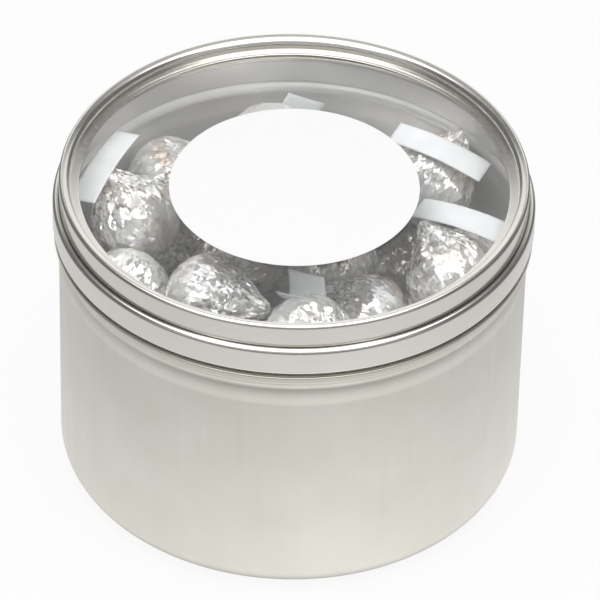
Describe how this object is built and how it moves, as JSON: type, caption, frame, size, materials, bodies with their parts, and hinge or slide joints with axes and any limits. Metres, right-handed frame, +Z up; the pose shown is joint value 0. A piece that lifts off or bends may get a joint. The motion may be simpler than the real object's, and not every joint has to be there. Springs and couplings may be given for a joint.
{
  "type": "window lid tin",
  "caption": "Round seamless tin with a lift-off lid that has a clear window and a plain round label, filled with foil-wrapped drops and paper tags.",
  "frame": {"origin": "centre of the foot ring, on the surface that the tin stands on", "axes": "+Z up along the axis of the tin, through the middle of the window; +Y away from the picture's camera, +X to its right"},
  "size_m": [0.105, 0.105, 0.0754],
  "materials": {
    "tinplate": "satin",
    "clear_window": "gloss",
    "label_paper": "satin",
    "tag_paper": "matte",
    "foil": "polished"
  },
  "bodies": {
    "tin": {"tin_body": "tinplate", "wrapped_drop_01": "foil", "wrapped_drop_02": "foil", "wrapped_drop_03": "foil", "wrapped_drop_04": "foil", "wrapped_drop_05": "foil", "wrapped_drop_06": "foil", "wrapped_drop_07": "foil", "wrapped_drop_08": "foil", "wrapped_drop_09": "foil", "wrapped_drop_10": "foil", "wrapped_drop_11": "foil", "wrapped_drop_12": "foil", "wrapped_drop_13": "foil", "wrapped_drop_14": "foil", "wrapped_drop_15": "foil", "wrapped_drop_16": "foil", "wrapped_drop_17": "foil", "wrapped_drop_18": "foil", "wrapped_drop_19": "foil", "wrapped_drop_20": "foil", "wrapped_drop_21": "foil", "wrapped_drop_22": "foil", "wrapped_drop_23": "foil", "wrapped_drop_24": "foil", "wrapped_drop_25": "foil", "wrapped_drop_26": "foil", "wrapped_drop_27": "foil", "wrapped_drop_28": "foil", "wrapped_drop_29": "foil", "wrapped_drop_30": "foil", "wrapped_drop_31": "foil", "wrapped_drop_32": "foil", "wrapped_drop_33": "foil", "wrapped_drop_34": "foil", "wrapped_drop_35": "foil", "paper_tag_01": "tag_paper", "paper_tag_02": "tag_paper", "paper_tag_03": "tag_paper", "paper_tag_04": "tag_paper", "paper_tag_05": "tag_paper", "paper_tag_06": "tag_paper", "paper_tag_07": "tag_paper"},
    "lid": {"lid_ring": "tinplate", "window": "clear_window", "window_retainer": "tinplate", "label": "label_paper"}
  },
  "joints": [
    {"name": "lid_lift", "type": "slide", "parent": "tin", "child": "lid", "axis": [0, 0, 1], "range_m": [0, 0.07]}
  ]
}
